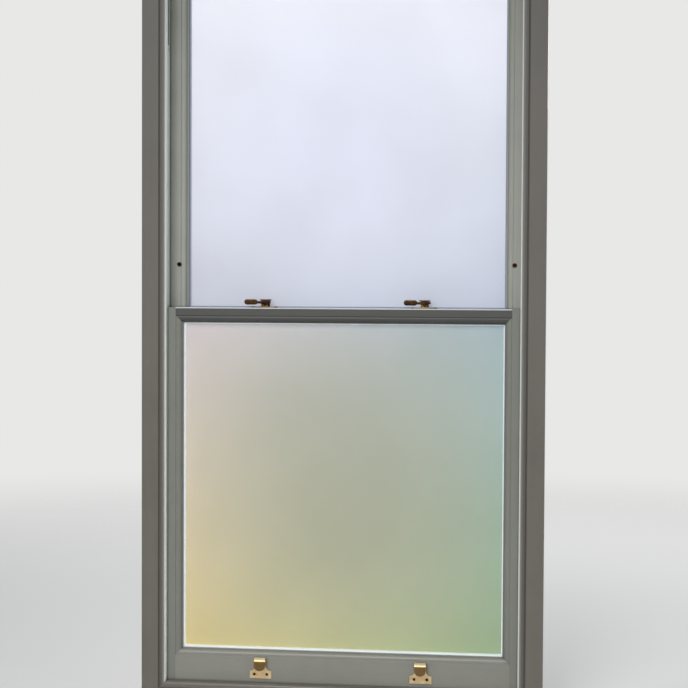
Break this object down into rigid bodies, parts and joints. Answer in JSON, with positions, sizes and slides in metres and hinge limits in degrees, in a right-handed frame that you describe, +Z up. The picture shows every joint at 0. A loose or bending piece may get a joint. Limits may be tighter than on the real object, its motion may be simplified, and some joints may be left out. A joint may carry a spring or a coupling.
{
  "type": "sash window",
  "caption": "Painted timber vertical sliding sash window in its frame, double glazed with obscured glass, on spiral balances, with brass hook lifts and cam fasteners.",
  "frame": {"origin": "on the sill's underside, midway along it, below the middle of the parting beads", "axes": "+X to the right as seen from the room, +Y outdoors, +Z up"},
  "size_m": [0.948, 0.182, 1.8383],
  "materials": {
    "paint": "eggshell paint on timber",
    "brass": "polished, lightly worn",
    "clear_glass": "clear float",
    "obscured_glass": "acid-etched, obscured",
    "spacer": "satin",
    "balance_plastic": "moulded, matt",
    "steel": "zinc plated"
  },
  "bodies": {
    "frame": {"sill": "paint", "left_jamb": "paint", "right_jamb": "paint", "head": "paint", "left_inner_lining": "paint", "right_inner_lining": "paint", "head_inner_lining": "paint", "left_outer_lining": "paint", "right_outer_lining": "paint", "head_outer_lining": "paint", "left_parting_bead": "paint", "right_parting_bead": "paint", "head_parting_bead": "paint", "left_staff_bead": "paint", "right_staff_bead": "paint", "head_staff_bead": "paint", "sill_staff_bead": "paint", "lower_left_balance_tube": "balance_plastic", "lower_right_balance_tube": "balance_plastic", "upper_left_balance_tube": "balance_plastic", "upper_right_balance_tube": "balance_plastic", "balance_bushes": "balance_plastic", "balance_screws": "steel"},
    "lower_sash": {"lower_left_stile": "paint", "lower_right_stile": "paint", "lower_meeting_rail": "paint", "lower_bottom_rail": "paint", "lower_clear_pane": "clear_glass", "lower_glazing_spacer": "spacer", "lower_obscured_pane": "obscured_glass", "lower_glazing_beads": "paint", "lower_left_balance_rod": "steel", "lower_right_balance_rod": "steel", "lower_balance_feet": "balance_plastic", "left_sash_lift": "brass", "right_sash_lift": "brass", "sash_lift_screws": "brass", "left_fastener_base": "brass", "right_fastener_base": "brass", "fastener_screws": "brass", "fastener_pivots": "brass"},
    "upper_sash": {"upper_left_stile": "paint", "upper_right_stile": "paint", "upper_top_rail": "paint", "upper_meeting_rail": "paint", "upper_clear_pane": "clear_glass", "upper_glazing_spacer": "spacer", "upper_obscured_pane": "obscured_glass", "upper_glazing_beads": "paint", "upper_left_balance_rod": "steel", "upper_right_balance_rod": "steel", "upper_balance_feet": "balance_plastic", "left_fastener_keeper": "brass", "right_fastener_keeper": "brass", "keeper_screws": "brass", "left_stop_socket": "brass", "right_stop_socket": "brass"},
    "left_fastener_lever": {"left_fastener_lever": "brass"},
    "right_fastener_lever": {"right_fastener_lever": "brass"}
  },
  "joints": [
    {"name": "lower_sash_slide", "type": "slide", "parent": "frame", "child": "lower_sash", "axis": [0, 0, 1], "range_m": [0, 0.7]},
    {"name": "upper_sash_slide", "type": "slide", "parent": "frame", "child": "upper_sash", "axis": [0, 0, 1], "range_m": [-0.7, 0]},
    {"name": "left_fastener_turn", "type": "hinge", "parent": "lower_sash", "child": "left_fastener_lever", "pos_m": [-0.19, -0.014, 0.9764], "axis": [0, 0, 1], "range_deg": [0, 180]},
    {"name": "right_fastener_turn", "type": "hinge", "parent": "lower_sash", "child": "right_fastener_lever", "pos_m": [0.19, -0.014, 0.9764], "axis": [0, 0, 1], "range_deg": [0, 180]}
  ]
}
